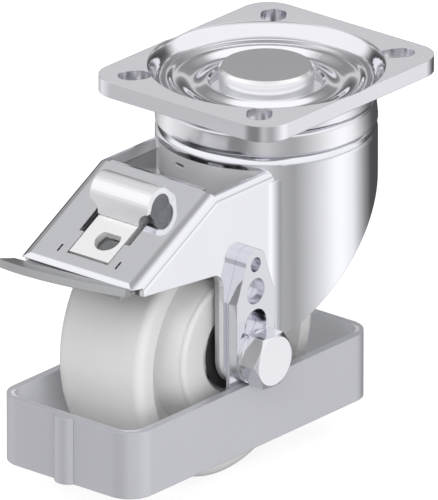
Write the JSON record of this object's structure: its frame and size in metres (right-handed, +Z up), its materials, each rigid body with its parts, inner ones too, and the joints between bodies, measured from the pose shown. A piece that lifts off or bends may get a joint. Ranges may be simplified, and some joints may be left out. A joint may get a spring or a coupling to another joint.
{
  "type": "swivel castor with brake and wheel guard",
  "caption": "Swivel castor with a bolted top plate, a pressed fork, a plain wheel, a foot-operated tread brake and a wheel guard.",
  "frame": {"origin": "centre of the top plate's mounting face, on the swivel axis", "axes": "+Z up, out of the mounting face; the wheel and the pedal trail toward -X at rest; Y runs along the axle, with the axle bolt's head on -Y and its nut on +Y"},
  "size_m": [0.172, 0.0893, 0.139],
  "materials": {
    "zinc": "bright zinc-plated, satin",
    "steel": "plain, satin",
    "polyamide": "satin",
    "seal": "matt",
    "shoe": "matt"
  },
  "bodies": {
    "plate": {"top_plate": "zinc", "kingpin": "steel", "lower_race": "steel", "kingpin_nut": "steel", "upper_balls": "steel", "lower_balls": "steel"},
    "fork": {"fork": "zinc", "dust_ring": "zinc", "crown_race": "steel", "hood_cheek_right": "steel", "hood_cheek_left": "steel", "brake_pin": "steel", "strap_right": "zinc", "strap_left": "zinc", "guard_frame": "zinc", "guard_rib": "zinc", "axle_bolt": "zinc", "axle_nut": "zinc", "bolt_washer": "zinc", "nut_washer": "zinc", "axle_tube": "steel", "inner_ring_right": "steel", "inner_ring_left": "steel"},
    "wheel": {"wheel": "polyamide", "outer_ring_right": "steel", "outer_ring_left": "steel", "wheel_balls_right": "steel", "wheel_balls_left": "steel", "seal_right": "seal", "seal_left": "seal"},
    "brake": {"brake_lever": "zinc", "pedal_foot": "zinc", "brake_shoe": "shoe", "adjusting_screw": "steel"}
  },
  "joints": [
    {"name": "swivel", "type": "hinge", "parent": "plate", "child": "fork", "pos_m": [0, 0, 0], "axis": [0, 0, 1], "continuous": true},
    {"name": "wheel_spin", "type": "hinge", "parent": "fork", "child": "wheel", "pos_m": [-0.045, 0, -0.09], "axis": [0, 1, 0], "continuous": true},
    {"name": "brake_pedal", "type": "hinge", "parent": "fork", "child": "brake", "pos_m": [-0.075, 0, -0.0288], "axis": [0, -1, 0], "range_deg": [0, 8]}
  ]
}
